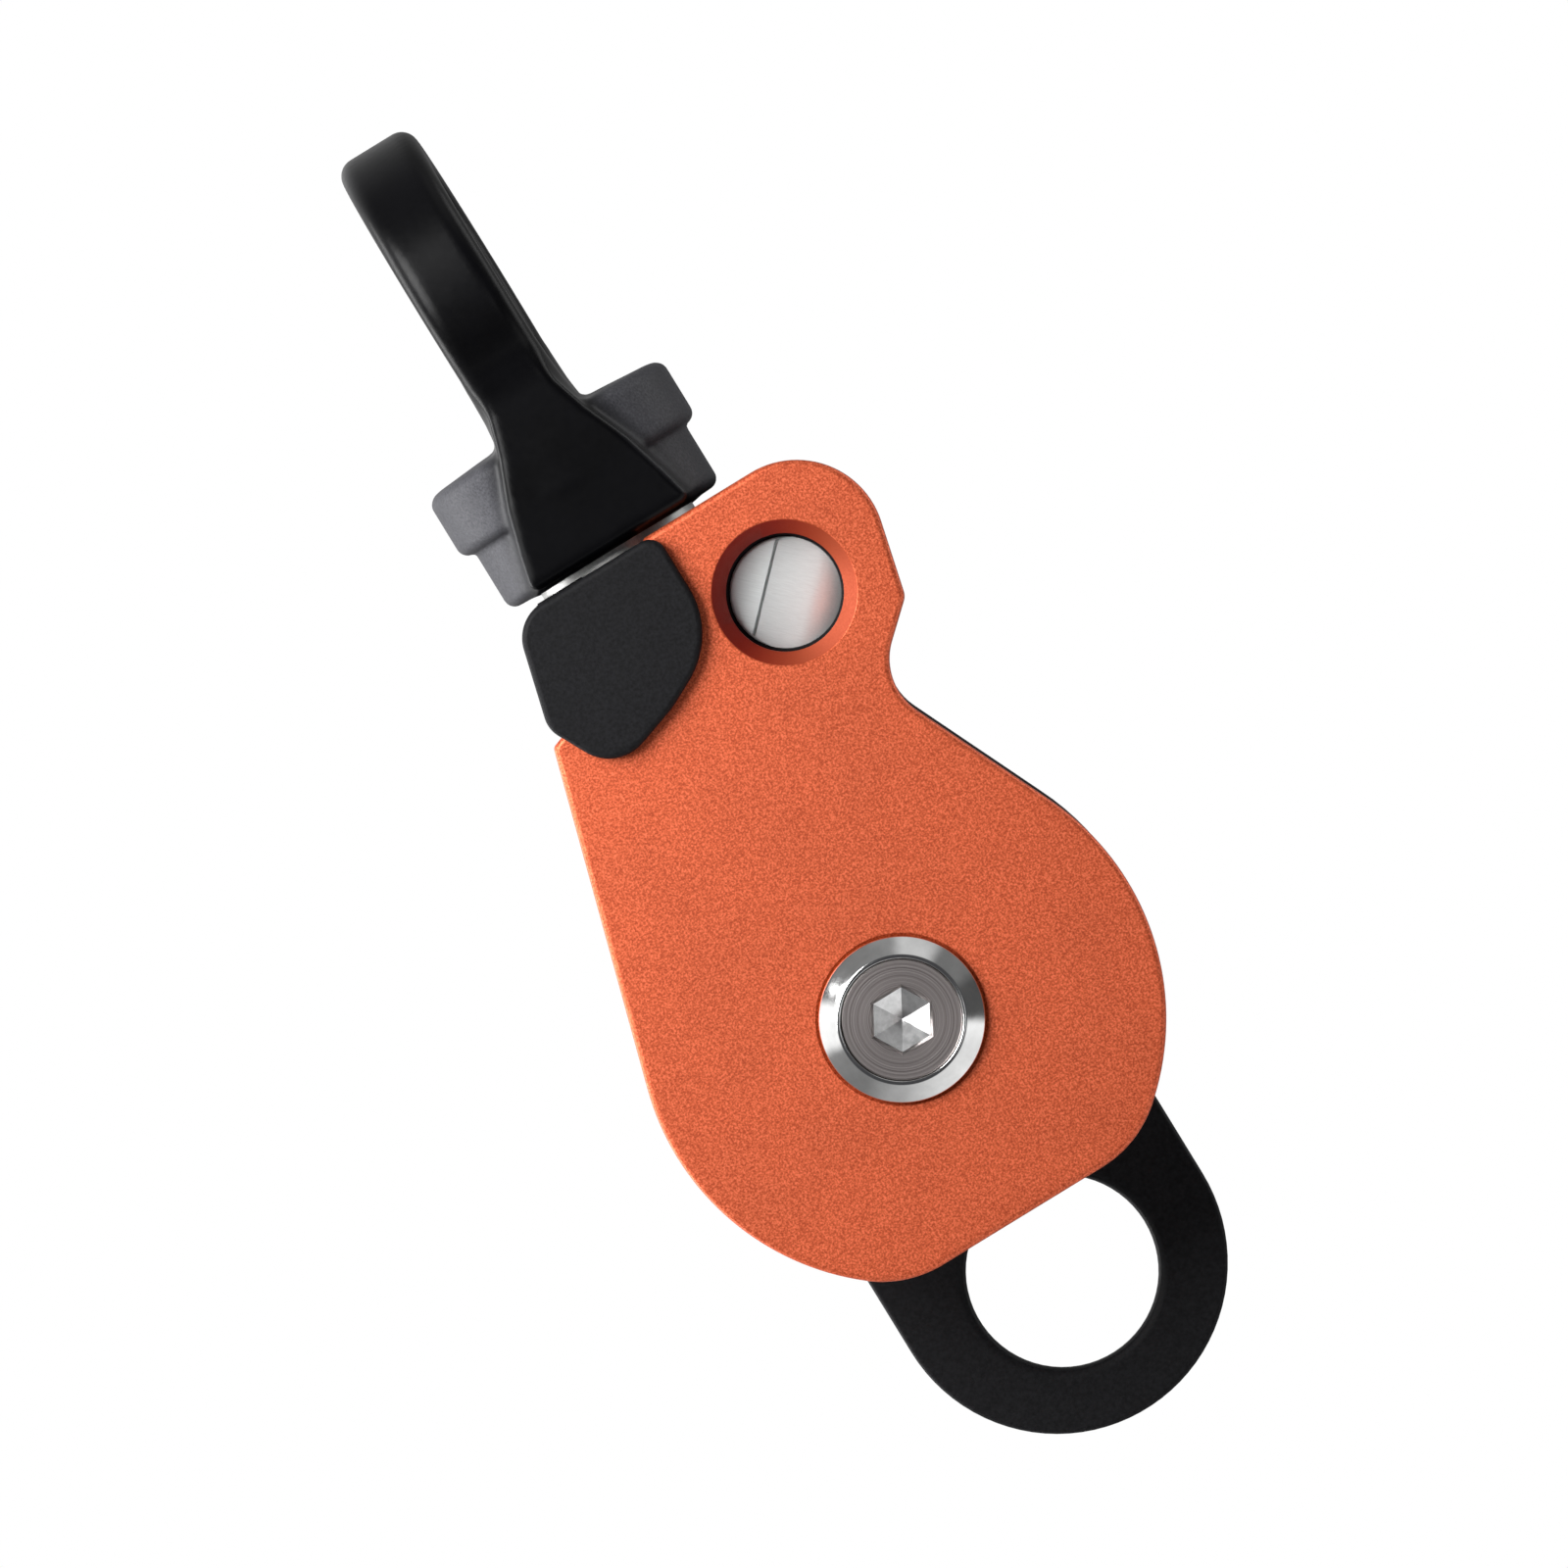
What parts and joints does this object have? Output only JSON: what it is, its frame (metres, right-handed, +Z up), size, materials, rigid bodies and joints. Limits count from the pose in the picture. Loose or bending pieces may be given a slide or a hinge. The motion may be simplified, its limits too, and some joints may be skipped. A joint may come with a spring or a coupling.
{
  "type": "swivel pulley",
  "caption": "Rope pulley with a swivel eye, a ball-bearing wheel between two plates, a push-button side plate that swings open, and a becket loop below.",
  "frame": {"origin": "centre of the eye's hole", "axes": "+Z up along the swivel axis, from the wheel to the eye; Y along the axle, with the opening side plate at -Y; +X towards the button"},
  "size_m": [0.0538, 0.0356, 0.1517],
  "materials": {
    "orange": "blasted, orange anodised",
    "frame_black": "matte black anodised",
    "eye_black": "satin black",
    "polished_steel": "polished",
    "turned_steel": "turned, with fine rings",
    "button_steel": "straight brushed",
    "steel": "ground",
    "dark_steel": "dark, machined",
    "bronze": "sintered bronze",
    "alloy": "turned aluminium",
    "seal": "moulded rubber"
  },
  "bodies": {
    "eye": {"swivel_eye": "eye_black", "retaining_ring": "steel", "swivel_bush": "bronze", "thrust_race_lower": "steel", "thrust_balls": "steel", "thrust_cage": "bronze"},
    "frame": {"thrust_race_upper": "steel", "swivel_post": "dark_steel", "lock_pin": "steel", "swivel_washer": "steel", "frame": "frame_black", "bearing_inner_race": "steel", "spacer_front": "alloy", "spacer_back": "alloy", "axle_sleeve": "polished_steel", "axle_screw": "turned_steel", "axle_nut": "polished_steel", "button_spring": "steel"},
    "side_plate": {"side_plate": "orange", "plate_bush": "bronze"},
    "sheave": {"sheave": "alloy", "bearing_outer_race": "steel", "bearing_balls": "steel", "bearing_cage": "bronze", "bearing_seal_front": "seal", "bearing_seal_back": "seal", "bearing_circlip": "dark_steel"},
    "button": {"button_plunger": "button_steel", "button_clip": "dark_steel"}
  },
  "joints": [
    {"name": "swivel", "type": "hinge", "parent": "eye", "child": "frame", "pos_m": [0, 0, -0.0865], "axis": [0, 0, 1], "continuous": true},
    {"name": "sheave_spin", "type": "hinge", "parent": "frame", "child": "sheave", "pos_m": [0, 0, -0.0865], "axis": [0, 1, 0], "continuous": true},
    {"name": "side_plate_swing", "type": "hinge", "parent": "frame", "child": "side_plate", "pos_m": [0, 0, -0.0865], "axis": [0, 1, 0], "range_deg": [0, 300]},
    {"name": "button", "type": "slide", "parent": "frame", "child": "button", "axis": [0, -1, 0], "range_m": [0, 0.0043], "stiffness_N_per_m": 500, "springref_m": 0.008, "deforming": ["button_spring"]}
  ]
}
